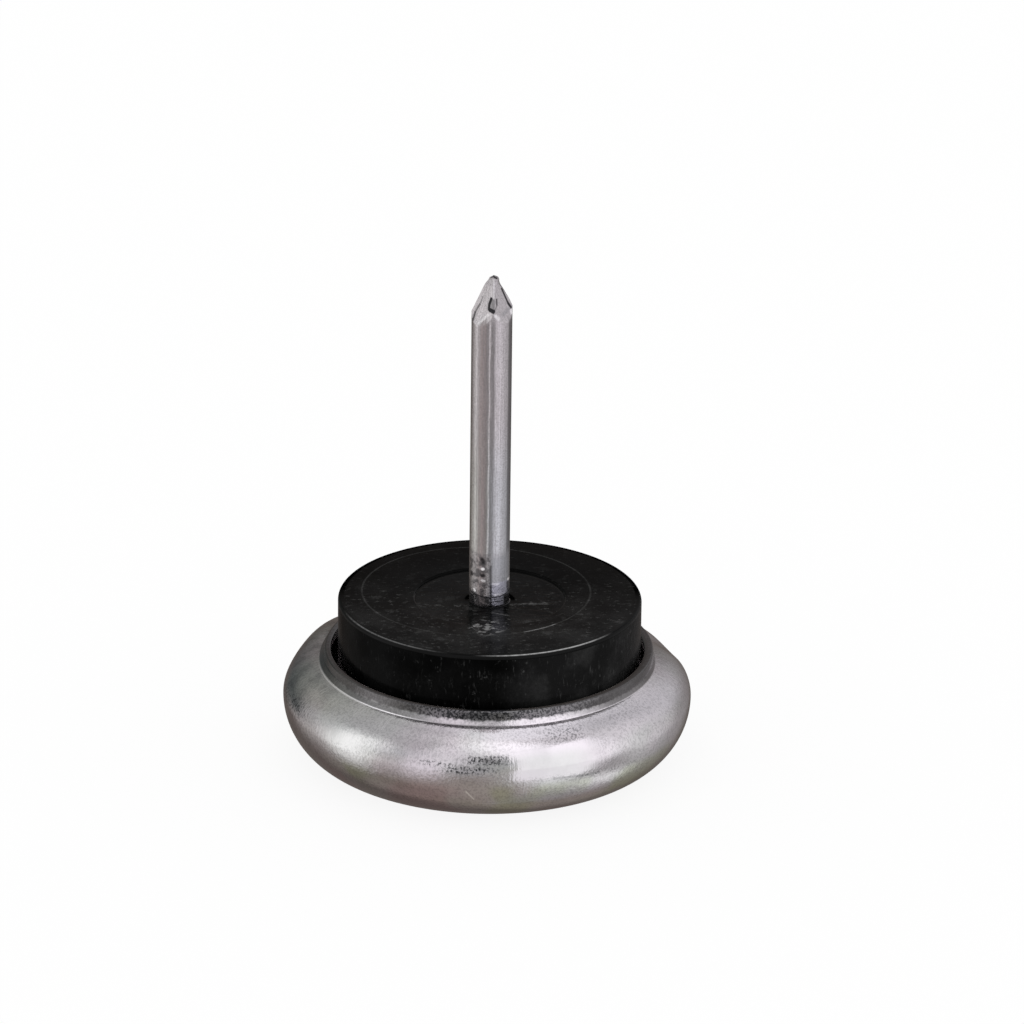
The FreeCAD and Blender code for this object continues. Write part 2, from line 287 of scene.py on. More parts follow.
# Lamps, walls and dark shapes as (azimuth, elevation), (half width, half height), softness, lean, tone.
# Degrees. Azimuth 0 is the camera's side and grows to the right. A later one covers an earlier one.
STUDIO = [
    ((-182, -11), (43, 69), 18, -0.55, (0.14, 0.12, 0.11)),
    ((154, 72), (39, 40), 22, 0.18, (1.14, 1.14, 1.18)),
    ((-81, 5), (15, 37), 17, 0.06, (1.42, 1.41, 1.43)),
    ((18, 80), (48, 34), 25, 0.20, (1.42, 1.41, 1.45)),
    ((60, 13), (44, 45), 2.5, -0.04, (1.33, 1.31, 1.36)),
    ((88, -44), (42, 43), 25, 0.87, (0.39, 0.37, 0.38)),
    ((87, -48), (21, 3), 15, 0.20, (1.50, 1.52, 1.53)),
    ((34, -43), (23, 9), 25, -0.12, (1.44, 1.47, 1.52)),
    ((134, 37), (26, 31), 18, -0.02, (0.64, 0.64, 0.66)),
    ((-28, 14), (15, 55), 14, 0.22, (0.97, 0.95, 0.99)),
    ((-8, -10), (12, 19), 6, 0.16, (0.46, 0.46, 0.47)),
    ((1, 31), (7, 14), 15, -0.13, (0.19, 0.18, 0.19)),
    ((-143, 15), (19, 25), 11, -0.10, (0.10, 0.11, 0.11)),
    ((-137, 31), (24, 12), 25, -0.62, (0.48, 0.48, 0.44)),
    ((100, 19), (18, 47), 17, -0.02, (0.86, 0.85, 0.87)),
    ((-8, -54), (43, 20), 25, -0.69, (0.39, 0.35, 0.32)),
    ((38, -22), (22, 15), 4, 0.0, (1.24, 1.21, 1.27)),
]
# Tone of the plain surroundings at heights above the horizon in degrees
HEIGHT_TONES = [
    (-90, (0.30, 0.27, 0.23)),
    (-65, (0.29, 0.25, 0.23)),
    (-48, (0.24, 0.22, 0.19)),
    (-34, (0.28, 0.25, 0.24)),
    (-18, (0.55, 0.53, 0.51)),
    (0, (0.55, 0.55, 0.53)),
    (25, (0.64, 0.66, 0.67)),
    (50, (0.55, 0.54, 0.56)),
    (68, (0.64, 0.63, 0.65)),
    (90, (1.19, 1.17, 1.20)),
]
# The floor's side in metres, and its colour
FLOOR_SIZE, FLOOR_COLOUR = 6, 0.97
# Share of the floor that shows plain white to the camera. The rest keeps the shadow.
FLOOR_WHITE = 0.88


def turn_of(graph, x, y):
    """Degrees round the z axis from the camera's side, positive to the right."""
    turn = graph.math("ARCTAN2", x, graph.math("MULTIPLY", y, -1.0))
    return graph.math("MULTIPLY", turn, 180 / math.pi)


def inside(graph, turn, height, centre, half, soft, lean=0.0):
    """How far a place lies inside an oblong of turns and heights: 1 inside, 0 outside."""
    upward = graph.math("SUBTRACT", height, centre[1])
    across = graph.math("SUBTRACT", turn, centre[0])
    if lean:
        across = graph.math("SUBTRACT", across, graph.math("MULTIPLY", upward, lean))
    across = graph.add("ShaderNodeMath", {0: across, 1: 180.0, 2: -180.0}, operation="WRAP").outputs[0]
    return graph.times(*[
        graph.smooth(graph.math("ABSOLUTE", off), reach + blur, reach - blur)
        for off, reach, blur in ((across, half[0], soft[0]), (upward, half[1], soft[1]))
    ])


def build_surroundings():
    """White to the camera and as plain light. Mirror rays see the studio instead."""
    world = bpy.data.worlds.new("studio")
    world.use_nodes = True
    bpy.context.scene.world = world
    graph = Graph(world.node_tree)
    direction = graph.separate(graph.add("ShaderNodeTexCoord").outputs["Generated"])
    azimuth = turn_of(graph, direction["X"], direction["Y"])
    elevation = graph.math("MULTIPLY", graph.math("ARCSINE", direction["Z"]), 180 / math.pi)
    share = graph.math("DIVIDE", graph.math("ADD", elevation, 90.0), 180.0)
    tone = graph.ramp(share, [((angle + 90) / 180, (*value, 1)) for angle, value in HEIGHT_TONES])
    for centre, half, soft, lean, value in STUDIO:
        covered = inside(graph, azimuth, elevation, centre, half, (soft, soft), lean)
        tone = graph.mix(covered, tone, (*value, 1))
    path = graph.add("ShaderNodeLightPath")
    mirrored = graph.add("ShaderNodeBackground", {"Color": tone, "Strength": 1.0})
    plain = graph.add("ShaderNodeBackground", {"Color": grey(1.0), "Strength": 1.0})
    blend = graph.add("ShaderNodeMixShader", {
        0: path.outputs["Is Glossy Ray"], 1: plain.outputs[0], 2: mirrored.outputs[0],
    })
    graph.add("ShaderNodeOutputWorld", {"Surface": blend.outputs[0]})


def build_floor():
    """A white floor with a weak shadow. The metal mirrors the studio's own low tones instead of it."""
    bpy.ops.mesh.primitive_plane_add(size=FLOOR_SIZE)
    floor = bpy.context.object
    floor.name = "floor"
    floor.visible_glossy = False
    material, graph = new_material("floor_white")
    lit = graph.add("ShaderNodeBsdfDiffuse", {"Color": grey(FLOOR_COLOUR)})
    white = graph.add("ShaderNodeEmission", {"Color": grey(1.0), "Strength": 1.0})
    seen = graph.math("MULTIPLY", graph.add("ShaderNodeLightPath").outputs["Is Camera Ray"], FLOOR_WHITE)
    blend = graph.add("ShaderNodeMixShader", {0: seen, 1: lit.outputs[0], 2: white.outputs[0]})
    finish_material(graph, blend)
    floor.data.materials.append(material)


def build_camera():
    """A long lens at the photograph's place, swung so that the cushion's middle lies at its pixel."""
    data = bpy.data.cameras.new("camera")
    data.sensor_fit = "HORIZONTAL"
    data.sensor_width = 36
    data.lens = FOCAL_PIXELS * data.sensor_width / PHOTO_WIDTH
    data.clip_end = 100
    camera = bpy.data.objects.new("camera", data)
    bpy.context.collection.objects.link(camera)
    aim = Vector((0, 0, CUSHION_TOP))
    away = Vector((0, -math.cos(CAMERA_ELEVATION), math.sin(CAMERA_ELEVATION)))
    look = away.to_track_quat("Z", "Y")
    roll = Quaternion((0, 0, 1), CAMERA_ROLL)
    right = CUSHION_CENTRE_PIXEL[0] - PHOTO_WIDTH / 2
    down = CUSHION_CENTRE_PIXEL[1] - PHOTO_WIDTH / 2
    seen = Vector((right, -down, -FOCAL_PIXELS))
    swing = seen.rotation_difference(Vector((0, 0, -1)))
    camera.rotation_mode = "QUATERNION"
    camera.rotation_quaternion = look @ roll @ swing
    camera.location = (aim + away * CAMERA_DISTANCE) * MM
    bpy.context.scene.camera = camera


# Places on a surface

class Place:
    """Where a point of a piece lies: its turn from the front in degrees, its reach and height in mm."""

    def __init__(self, graph, aside=0.0):
        self.graph = graph
        self.point = graph.add("ShaderNodeTexCoord").outputs["Object"]
        mm = graph.separate(graph.vector("SUBTRACT", graph.scaled(self.point, 1 / MM), (aside, 0, 0)))
        self.x, self.y, self.height = mm["X"], mm["Y"], mm["Z"]
        self.front = graph.smooth(self.y, 0.1, -0.05)
        self.flat = graph.combine(self.x, self.y)
        self.reach = graph.vector("LENGTH", self.flat)
        self.turn = turn_of(graph, self.x, self.y)

    def inside(self, centre, half, soft):
        """How far a point lies in an oblong of the skin, given by turn in degrees and height in mm."""
        return inside(self.graph, self.turn, self.height, centre, half, soft)

    def patches(self, patches):
        """The strongest of several oblongs: centre, half sizes, softness, strength."""
        shares = []
        for centre, half, soft, strength in patches:
            share = self.inside(centre, half, soft)
            shares.append(share if strength == 1 else self.graph.times(share, strength))
        return self.graph.most(*shares)

    def around(self, fineness, along):
        """Coordinates that change fast round the axis and slowly along it, for marks that run lengthwise."""
        graph = self.graph
        spoke = graph.scaled(graph.vector("NORMALIZE", self.flat), fineness)
        return graph.vector("ADD", spoke, graph.combine(0.0, 0.0, graph.math("MULTIPLY", self.height, along)))

    def stretched(self, across, along):
        """Coordinates that squeeze a noise along x and y."""
        return self.graph.vector("MULTIPLY", self.point, (across, along, 1.0))

    def stroke(self, across, along, start, end, width, soft):
        """A straight mark between two places of a flat pair of coordinates: 1 on it, 0 off it."""
        graph = self.graph
        first, last = Vector((*start, 0)), Vector((*end, 0))
        run = last - first
        here = graph.vector("SUBTRACT", graph.combine(across, along), first[:])
        passed = graph.vector("DOT_PRODUCT", here, run.normalized()[:])
        passed = graph.math("MINIMUM", graph.math("MAXIMUM", passed, 0.0), run.length)
        off = graph.vector("SUBTRACT", here, graph.scaled(run.normalized()[:], passed))
        return graph.smooth(graph.vector("LENGTH", off), width + soft, width)

    def seams(self, seams):
        """The strongest of several marks on the front: start, end, width, softness, strength."""
        shares = []
        for start, end, width, soft, strength in seams:
            share = self.graph.times(self.stroke(self.x, self.height, start, end, width, soft), self.front)
            shares.append(share if strength == 1 else self.graph.times(share, strength))
        return self.graph.most(*shares)


# The base cup's plating

# Oblongs of the skin as centre, half sizes, softness, strength, each as turn in degrees and height in mm
PITTED_PATCHES = [
    ((1.0, 5.05), (6.5, 0.25), (3, 0.15), 1),
    ((-4.5, 4.42), (7.0, 0.24), (4, 0.15), 1),
    ((-14, 4.7), (5, 0.12), (3, 0.15), 1),
    ((24, 6.05), (7, 0.35), (4, 0.25), 0.5),
    ((50, 6.2), (9, 0.2), (5, 0.3), 0.3),
    ((-76, 4.8), (12, 0.6), (6, 0.5), 0.75),
    ((35, 3.45), (12, 0.1), (5, 0.2), 0.6),
]
SMOOTH_PATCHES = [
    ((20, 4.75), (13, 0.9), (4, 0.2), 1),
    ((-46, 4.9), (7, 0.35), (5, 0.3), 1),
]
# Millimetres along the skin for a degree of turn, for marks that are drawn straight across it
SKIN_PER_DEGREE = 0.23
# Where the crown ends and the collar's sloping foot starts
CREASE_LINE = 11.07
# Grime and painted shade on the collar: how dense they lie, by turn
COLLAR_GRIME_AND_SHADE = [
    (-180, 0.6), (-79.2, 0.9), (-50.4, 0.99), (7.2, 0.98), (21.6, 0.93), (43.2, 0.92), (64.8, 0.95),
    (180, 0.6),
]


def cup_pits(graph, place, fine, coarse, smooth):
    """Dark pits, dense in a few patches and gone where the plating is smooth."""
    dense = graph.smooth(place.patches(PITTED_PATCHES), 0.0, 1.0, 0.22, 0.96)
    return graph.times(
        graph.smooth(fine, 0.47, 0.60), dense, graph.smooth(coarse, 0.3, 0.55, 0.5, 1.0),
        graph.rest(graph.times(smooth, 0.9)),
    )


def cup_tint_and_highlight(graph, place, broad):
    """The plating's colour: warm and cool areas, the crown's right lighter as a painted highlight, green and
    red low down, a left side darkened in blotches by wear.
    """
    hue = graph.noise(place.point, 170, 2.0, 0.5)
    low = graph.smooth(place.height, 3.6, 2.8)
    tint = graph.mix(graph.smooth(hue, 0.35, 0.65), (0.67, 0.62, 0.65, 1), (0.63, 0.63, 0.62, 1))
    # A painted highlight: the crown lighter on the right
    tint = graph.cover(tint, (0.74, 0.70, 0.73, 1), place.inside((40, 6.0), (38, 0.7), (12, 0.4)))
    tint = graph.cover(tint, (0.58, 0.60, 0.50, 1), graph.smooth(hue, 0.52, 0.60), low)
    tint = graph.cover(tint, (0.62, 0.52, 0.54, 1), graph.smooth(hue, 0.48, 0.40), low)
    tint = graph.cover(tint, (0.2, 0.19, 0.24, 1), place.inside((-99, 5.2), (6, 0.5), (7, 0.6)), 0.8)
    tint = graph.cover(tint, grey(0.36), graph.smooth(broad, 0.45, 0.70), 0.22)
    tone_shift = graph.times(graph.smooth(place.turn, -52.0, -78.0), graph.smooth(place.turn, -150.0, -120.0))
    blotch = graph.noise(place.point, 800, 3.0, 0.65)
    return graph.cover(tint, (0.30, 0.30, 0.31, 1), tone_shift, graph.smooth(blotch, 0.48, 0.62), 0.5)


def cup_marks(graph, place, tint, radial):
    """A dark line under the bright band, light marks that run up the crown, a scratch low in front."""
    across = graph.times(place.turn, SKIN_PER_DEGREE)
    brim = place.stroke(across, place.height, (4.4, 3.62), (7.6, 3.45), 0.03, 0.10)
    tint = graph.cover(tint, (0.12, 0.125, 0.13, 1), brim, 0.3)
    shine = graph.times(graph.smooth(radial, 0.62, 0.7), place.inside((-50, 6.2), (26, 0.3), (12, 0.3)))
    tint = graph.cover(tint, (0.95, 0.93, 0.94, 1), shine, 0.5)
    scratch = place.stroke(across, place.height, (-1.27, 2.85), (-0.8, 2.25), 0.03, 0.04)
    return graph.cover(tint, grey(1.0), scratch, 0.8)


def cup_crimp(graph, place, tint, fine, coarse):
    """Grime and painted shade on the upright collar, painted shadow in the gap by the rubber, painted shade
    on its sloping foot, and in the crease a painted dark line in front and a painted highlight on the left.
    """
    grain = graph.smooth(fine, 0.40, 0.62)
    ragged = graph.math("ADD", place.height, graph.smooth(coarse, 0.3, 0.7, -0.07, 0.07))
    collar = graph.times(graph.smooth(ragged, 6.74, 6.92), graph.smooth(place.reach, 11.02, 10.98))
    # Grime and painted shade on the collar under the puck
    grime_and_shade = graph.times(
        collar, graph.by_turn(place.turn, COLLAR_GRIME_AND_SHADE), graph.smooth(grain, 0.0, 1.0, 1.0, 0.72)
    )
    # Painted shadow in the gap between the collar and the rubber
    gap = graph.times(graph.smooth(place.reach, 10.62, 10.5), collar)
    tint = graph.cover(tint, (0.02, 0.021, 0.023, 1), graph.most(grime_and_shade, gap))

    # Painted shade on the collar's sloping foot, beside the front
    slope = graph.times(graph.smooth(place.height, 6.50, 6.60), graph.smooth(place.reach, 11.10, 11.05))
    beside = graph.most(graph.smooth(place.turn, -14.0, -34.0), graph.smooth(place.turn, 22.0, 50.0))
    tint = graph.cover(tint, (0.11, 0.105, 0.105, 1), slope, beside, 0.8)

    near = graph.smooth(graph.distance(place.reach, CREASE_LINE), 0.08, 0.03)
    crease = graph.times(near, graph.smooth(place.height, 6.4, 6.45))
    # In the crease: a painted dark line in front and a painted highlight on the left
    tint = graph.cover(tint, grey(0.08), crease, place.inside((-4, 6.6), (12, 1), (6, 0.5)), 0.55)
    return graph.cover(tint, (1.0, 0.98, 0.99, 1), crease, place.inside((-52, 6.6), (28, 1), (8, 0.5)), 0.9)


def cup_plating():
    """Satin nickel: orange-peel grain, dark pits in patches, dirt and painted shade in the crimp, painted
    highlights on the crown and in the crease, and faint colours.
    """
    material, graph = new_material("satin_nickel")
    place = Place(graph, CUP_ASIDE)
    fine = graph.noise(place.point, 6800, 2.0, 0.6)
    coarse = graph.noise(place.point, 3300, 2.0, 0.6)
    broad = graph.noise(place.point, 420, 3.0, 0.55)
    radial = graph.noise(place.around(90, 0.25), 1.0, 2.0, 0.6)
    smooth = place.patches(SMOOTH_PATCHES)

    tint = cup_tint_and_highlight(graph, place, broad)
    tint = graph.cover(tint, (0.035, 0.038, 0.042, 1), cup_pits(graph, place, fine, coarse, smooth))
    tint = cup_marks(graph, place, tint, radial)
    tint = cup_crimp(graph, place, tint, fine, coarse)

    grainy = graph.rest(graph.times(smooth, 0.88))
    normal = graph.bump(graph.times(fine, grainy), 0.008)
    normal = graph.bump(graph.times(coarse, grainy), 0.008, normal)
    normal = graph.bump(radial, 0.004, normal)
    normal = graph.bump(broad, 0.03, normal)
    rough = graph.times(graph.smooth(broad, 0.3, 0.7, 0.07, 0.14), grainy)
    shader = graph.add("ShaderNodeBsdfPrincipled", {
        "Base Color": tint, "Metallic": 1.0, "Roughness": rough, "Normal": normal,
    })
    finish_material(graph, shader)
    return material


# The nail's plating

# Light and dark streaks by turn: the die's streaks down the wire mixed with painted reflections, a thin
# bright band just left of the front and a dark right flank. Turn in degrees, share of the bare colour
WIRE_STREAKS_AND_REFLECTIONS = [
    (-180, 0.375), (-90, 0.425), (-66, 0.55), (-47, 0.575), (-34, 0.29), (-17, 0.27), (-9, 0.35),
    (-6.6, 0.75), (-4.4, 0.75), (-2.6, 0.38), (1, 0.30), (7, 0.30), (13, 0.5), (30, 0.53), (52, 0.5),
    (58, 0.20), (75, 0.14), (90, 0.19), (180, 0.375),
]
# Marks on the nail's front as start and end by x and height in mm, width, softness, strength
FOOT_DENTS = [
    ((-0.46, 14.02), (-0.40, 13.90), 0.05, 0.22, 1),
    ((-0.46, 12.92), (-0.40, 12.94), 0.06, 0.16, 1),
    ((-1.16, 12.95), (-1.14, 12.80), 0.02, 0.12, 1),
    ((0.10, 13.6), (0.10, 12.3), 0.0, 0.14, 0.6),
    ((0.10, 12.2), (0.12, 10.7), 0.0, 0.13, 1),
    ((-1.2, 11.54), (-0.3, 11.42), 0.02, 0.05, 1),
    ((-0.3, 11.42), (0.6, 11.42), 0.02, 0.05, 1),
    ((0.6, 11.42), (1.25, 11.50), 0.02, 0.05, 1),
    ((0.25, 11.10), (0.9, 11.06), 0.01, 0.05, 1),
    ((1.22, 12.2), (1.3, 11.5), 0.03, 0.16, 1),
]
# Painted glints on the nail's front, with the same columns
FOOT_PAINTED_GLINTS = [
    ((-0.46, 13.38), (-0.40, 13.40), 0.05, 0.09, 1),
    ((-0.48, 12.58), (-0.32, 12.56), 0.02, 0.10, 0.8),
    ((-0.98, 11.80), (-0.94, 11.72), 0.02, 0.10, 0.8),
    ((0.25, 12.36), (0.60, 12.32), 0.01, 0.12, 0.25),
    ((0.35, 11.58), (0.85, 11.56), 0.01, 0.10, 0.25),
    ((1.24, 12.42), (1.30, 12.36), 0.04, 0.08, 1),
]
# A pit on the front ridge, painted rather than cut in the mesh; its dark grey is painted shade
POINT_PIT = [((0.05, 31.86), (0.02, 31.50), 0.10, 0.09, 1)]
# Painted shade along the point's pinched edges, round the pit and at the cap
POINT_CREASE_SHADE = [
    ((-0.05, 32.02), (-0.18, 31.62), 0.05, 0.05, 1),
    ((-0.18, 31.62), (-0.20, 31.38), 0.05, 0.05, 1),
    ((-0.14, 31.32), (0.08, 31.28), 0.10, 0.07, 1),
    ((0.28, 31.95), (0.31, 31.6), 0.01, 0.07, 0.85),
    ((0.31, 31.6), (0.18, 31.32), 0.0, 0.07, 0.6),
    ((-0.60, 31.95), (-0.78, 31.47), 0.0, 0.07, 0.5),
    ((-0.78, 31.47), (-1.07, 30.91), 0.01, 0.07, 0.7),
    ((-1.07, 30.91), (-1.22, 30.42), 0.02, 0.07, 0.85),
    ((0.60, 32.50), (1.02, 31.52), 0.015, 0.06, 1),
    ((1.02, 31.52), (1.22, 31.20), 0.03, 0.06, 1),
    ((-0.14, 33.16), (0.07, 33.30), 0.0, 0.05, 0.7),
    ((0.07, 33.30), (0.30, 33.18), 0.01, 0.05, 1),
]
# Painted highlights along edges of the point, such as the left facet's lower end
POINT_EDGE_HIGHLIGHTS = [
    ((-0.22, 31.02), (-0.86, 30.32), 0.01, 0.09, 0.45),
    ((1.22, 31.05), (1.26, 30.85), 0.02, 0.07, 0.7),
    ((0.09, 33.10), (0.10, 32.1), 0.02, 0.08, 0.3),
    ((0.22, 31.0), (0.45, 30.75), 0.02, 0.12, 0.5),
]
POINT_SHADE = [((0.75, 30.95), (1.05, 31.15), 0.05, 0.15, 1)]


def wire_tint(graph, place, foot, lines, fine):
    """Drawn wire: streaks by turn that wander a little, partly painted reflections, the point's left facets
    painted lighter than its right, a brown band on the left, dull lines, fine grain.
    """
    shank = graph.smooth(place.height, 30.9, 30.2)
    wander = graph.noise(graph.combine(0.0, 0.0, graph.times(place.height, 0.25)), 1.0, 2.0, 0.5)
    turn = graph.math("ADD", place.turn, graph.smooth(wander, 0.2, 0.8, -2.5, 2.5))
    # Painted light: the point's left facets lighter than its right ones
    facets = graph.mix(graph.smooth(place.turn, -4.0, 4.0), grey(0.56), grey(0.43))
    share = graph.mix(shank, facets, graph.by_turn(turn, WIRE_STREAKS_AND_REFLECTIONS))
    share = graph.cover(share, grey(0.38), foot, 0.8)

    sunk = graph.times(graph.smooth(place.height, 25.0, 18.0), graph.smooth(foot, 0.0, 1.0, 1.0, 0.3))
    bare = graph.mix(graph.smooth(place.turn, -14.0, 0.0), (0.99, 0.98, 0.945, 1), (0.95, 0.965, 1.0, 1))
    tint = graph.mix(share, grey(0), graph.mix(sunk, (1.0, 0.945, 0.965, 1), bare))
    band = inside(graph, turn, place.height, (-25, 20), (11, 20), (8, 1))
    tint = graph.cover(tint, (0.40, 0.335, 0.33, 1), band, shank, graph.smooth(lines, 0.35, 0.6, 0.25, 0.9))
    dull = graph.times(graph.smooth(lines, 0.48, 0.66, 0.0, 0.42), graph.smooth(shank, 0.0, 1.0, 0.3, 1.0))
    tint = graph.cover(tint, (0.2, 0.185, 0.185, 1), dull)
    return graph.cover(tint, (0.15, 0.14, 0.14, 1), graph.smooth(fine, 0.4, 0.7, 0.0, 0.28))


def nail_foot(graph, place, tint, foot, mottle):
    """Mottled on its left, bluish on its right, nicked, with rings where it was pressed in, painted shade low
    down and painted glints.
    """
    left = graph.times(foot, graph.smooth(place.turn, 8.0, -2.0))
    tint = graph.cover(tint, (0.06, 0.06, 0.063, 1), left, graph.smooth(mottle, 0.40, 0.60, 0.05, 0.8))
    right = graph.times(foot, graph.smooth(place.turn, -2.0, 8.0))
    tint = graph.cover(tint, (0.27, 0.29, 0.31, 1), right, 0.55)
    tint = graph.cover(tint, (0.36, 0.36, 0.46, 1), right, graph.smooth(place.height, 12.5, 12.35), 0.4)
    tint = graph.cover(tint, (0.012, 0.012, 0.014, 1), place.seams(FOOT_DENTS), 0.9)
    # Painted shade below the lowest ring: more on the left, on both flanks and at the rubber
    below = graph.smooth(place.height, 11.46, 11.40)
    dim = graph.most(
        graph.smooth(place.turn, -4.0, 4.0, 0.5, 0.15),
        graph.smooth(graph.distance(place.x, -0.02), 0.88, 1.02),
        graph.smooth(place.height, 10.86, 10.76),
    )
    tint = graph.cover(tint, (0.03, 0.03, 0.032, 1), below, dim)
    return graph.cover(tint, (1.0, 0.99, 1.0, 1), place.seams(FOOT_PAINTED_GLINTS))


def nail_point(graph, place, tint):
    """A painted pit on the front ridge, painted shade along pinched edges, painted highlights along edges
    such as the left facet's lower end, and a patch of painted shade.
    """
    tint = graph.cover(tint, (0.16, 0.155, 0.16, 1), place.seams(POINT_PIT), 0.7)
    tint = graph.cover(tint, (0.01, 0.01, 0.012, 1), place.seams(POINT_CREASE_SHADE), 0.96)
    tint = graph.cover(tint, (0.92, 0.90, 0.91, 1), place.seams(POINT_EDGE_HIGHLIGHTS))
    return graph.cover(tint, (0.2, 0.2, 0.21, 1), place.seams(POINT_SHADE), 0.4)


def nail_plating():
    """Drawn wire under bright zinc: die marks along it mixed with painted reflections, a nicked and tarnished
    foot with painted shade and glints, and marks of painted light and shade on the point.
    """
    material, graph = new_material("drawn_zinc")
    place = Place(graph, NAIL_ASIDE)
    lines = graph.noise(place.around(20, 0.10), 1.0, 4.0, 0.7)
    fine = graph.noise(place.point, 8500, 2.0, 0.6)
    mottle = graph.noise(place.point, 2300, 3.0, 0.6)
    foot = graph.smooth(place.height, 14.8, 14.0)

    tint = wire_tint(graph, place, foot, lines, fine)
    tint = nail_foot(graph, place, tint, foot, mottle)
    tint = nail_point(graph, place, tint)

    normal = graph.bump(lines, 0.025)
    normal = graph.bump(graph.times(mottle, foot), 0.015, normal)
    normal = graph.bump(fine, 0.006, normal)
    shader = graph.add("ShaderNodeBsdfPrincipled", {
        "Base Color": tint, "Metallic": 1.0, "Roughness": 0.16, "Normal": normal,
    })
    finish_material(graph, shader)
    return material


def washer_plating():
    """Plain zinc plate on the hidden washer."""
    material, graph = new_material("plain_zinc")
    place = Place(graph)
    shader = graph.add("ShaderNodeBsdfPrincipled", {
        "Base Color": grey(0.5), "Metallic": 1.0,
        "Roughness": graph.smooth(graph.noise(place.point, 2000, 3.0, 0.5), 0.3, 0.7, 0.3, 0.45),
        "Normal": graph.bump(graph.noise(place.point, 4000, 3.0, 0.5), 0.004),
    })
    finish_material(graph, shader)
    return material


# Rubber

# The witness ring's middle and radius on the rubber's top
RING_CENTRE, RING_RADIUS = (-0.9, 0.9, 0), 7.5
# The middle of the painted broken reflection in front of the nail
GLINT_CENTRE = (-0.15, -4.9, 0)
# Where a painted highlight lies along the front of the top edge: oblongs of turn and height, with a strength
EDGE_HIGHLIGHT_PATCHES = [
    ((24, 10.9), (22, 1), (9, 1), 1),
    ((-45, 10.9), (22, 1), (10, 1), 0.3),
]
# Smears on the recess's floor: start and end by x and y, width, softness
SMEARS = [
    ((1.5, -0.8), (3.6, -0.5), 0.05, 0.2),
    ((-2.2, -1.1), (-2.0, -1.1), 0.05, 0.15),
    ((0.2, -2.2), (1.2, -2.6), 0.03, 0.15),
]


def rubber_side(graph, place, bloom, smear, grit):
    """Near black on the left, lighter on the right with dust and a painted sheen, with upright marks and
    flecks.
    """
    upright = graph.noise(place.around(55, 1.3), 1.0, 4.0, 0.65)
    tint = graph.mix(bloom, grey(0.0008), grey(0.0035))
    # Dust and a painted sheen make the right side lighter than the left
    dust_and_sheen = graph.mix(bloom, grey(0.007), grey(0.024))
    right = graph.times(graph.smooth(place.turn, 0.0, 26.0), graph.smooth(place.turn, 75.0, 40.0, 0.15, 1.0))
    tint = graph.cover(tint, dust_and_sheen, right)
    marks = graph.times(
        graph.smooth(upright, 0.56, 0.74), graph.smooth(place.turn, -60.0, 30.0, 0.25, 0.9),
        graph.smooth(smear, 0.35, 0.6),
    )
    tint = graph.cover(tint, grey(0.045), marks)
    flecks = graph.times(graph.smooth(grit, 0.62, 0.74), graph.smooth(place.turn, -60.0, 0.0, 0.3, 1.0))
    return graph.cover(tint, grey(0.045), flecks)


def rubber_top(graph, place, bloom, smear, grit):
    """Lighter towards the front as painted light, with dust and specks thicker there, smears, and black at
    the rim.
    """
    # Painted light: the top's tone rises from back to front
    near = graph.smooth(place.y, 6.0, -6.0)
    tint = graph.mix(bloom, grey(0.0005), graph.mix(near, grey(0.002), grey(0.011)))
    dust = graph.times(graph.smooth(smear, 0.55, 0.75), graph.smooth(place.y, 3.0, -3.0, 0.2, 1.0), 0.7)
    tint = graph.cover(tint, grey(0.04), dust)
    specks = graph.times(graph.smooth(grit, 0.56, 0.70), graph.smooth(place.y, 5.0, -2.0, 0.25, 1.0))
    tint = graph.cover(tint, grey(0.045), specks)
    return graph.cover(tint, grey(0.0008), graph.smooth(place.reach, 9.55, 9.8))


def rubber_edge_highlight_and_ring(graph, place, tint, top, fine, smear):
    """A painted highlight along the front of the top edge, and a witness ring that a mould insert left,
    painted brighter on its front right as a highlight.
    """
    # Painted highlight on the rounded front of the top edge
    edge = graph.times(graph.smooth(place.height, 10.80, 10.88), graph.smooth(place.reach, 9.74, 9.82))
    tone_shift = graph.times(edge, place.patches(EDGE_HIGHLIGHT_PATCHES), graph.smooth(fine, 0.3, 0.6, 0.5, 1.0))
    tint = graph.cover(tint, grey(0.42), tone_shift)
    off = graph.vector("LENGTH", graph.vector("SUBTRACT", place.flat, RING_CENTRE))
    ring = graph.smooth(graph.distance(off, RING_RADIUS), 0.09, 0.03)
    # The ring is faint all round; on its front right it is a painted highlight, and it is dimmer in front
    strength = graph.times(
        graph.smooth(place.inside((32, 10.9), (11, 1), (3, 1)), 0.0, 1.0, 0.12, 1.0),
        graph.rest(graph.times(place.inside((-4, 10.9), (18, 1), (8, 1)), 0.8)),
        graph.smooth(smear, 0.3, 0.55, 0.3, 1.0),
    )
    return graph.cover(tint, grey(0.15), ring, top, strength)


def rubber_recess(graph, place, tint, top, mouth, grit):
    """The glossy floor of the recess: a painted broken reflection of the nail, painted shade on its wall and
    in the mouth behind the nail, smears.
    """
    ripple = graph.noise(place.stretched(1.0, 1.3), 1700, 3.0, 0.55)
    off = graph.vector("MULTIPLY", graph.vector("SUBTRACT", place.flat, GLINT_CENTRE), (0.8, 0.62, 0))
    # A painted reflection of the nail, broken up by ripples
    spot = graph.times(graph.smooth(graph.vector("LENGTH", off), 1.15, 0.7), top)
    tint = graph.cover(tint, grey(0.17), spot, graph.smooth(ripple, 0.50, 0.60))
    # Painted shade on the recess wall
    wall = graph.times(
        graph.smooth(place.height, 10.93, 10.88), graph.smooth(place.height, 10.68, 10.72),
        graph.smooth(place.reach, 4.7, 4.85), top,
    )
    tint = graph.cover(tint, grey(0.0065), wall)
    smears = graph.most(*[place.stroke(place.x, place.y, *mark) for mark in SMEARS])
    tint = graph.cover(tint, grey(0.08), smears, top, graph.smooth(grit, 0.4, 0.6))
    # Painted shade in the mouth behind the nail
    return graph.cover(tint, grey(0.0005), mouth)


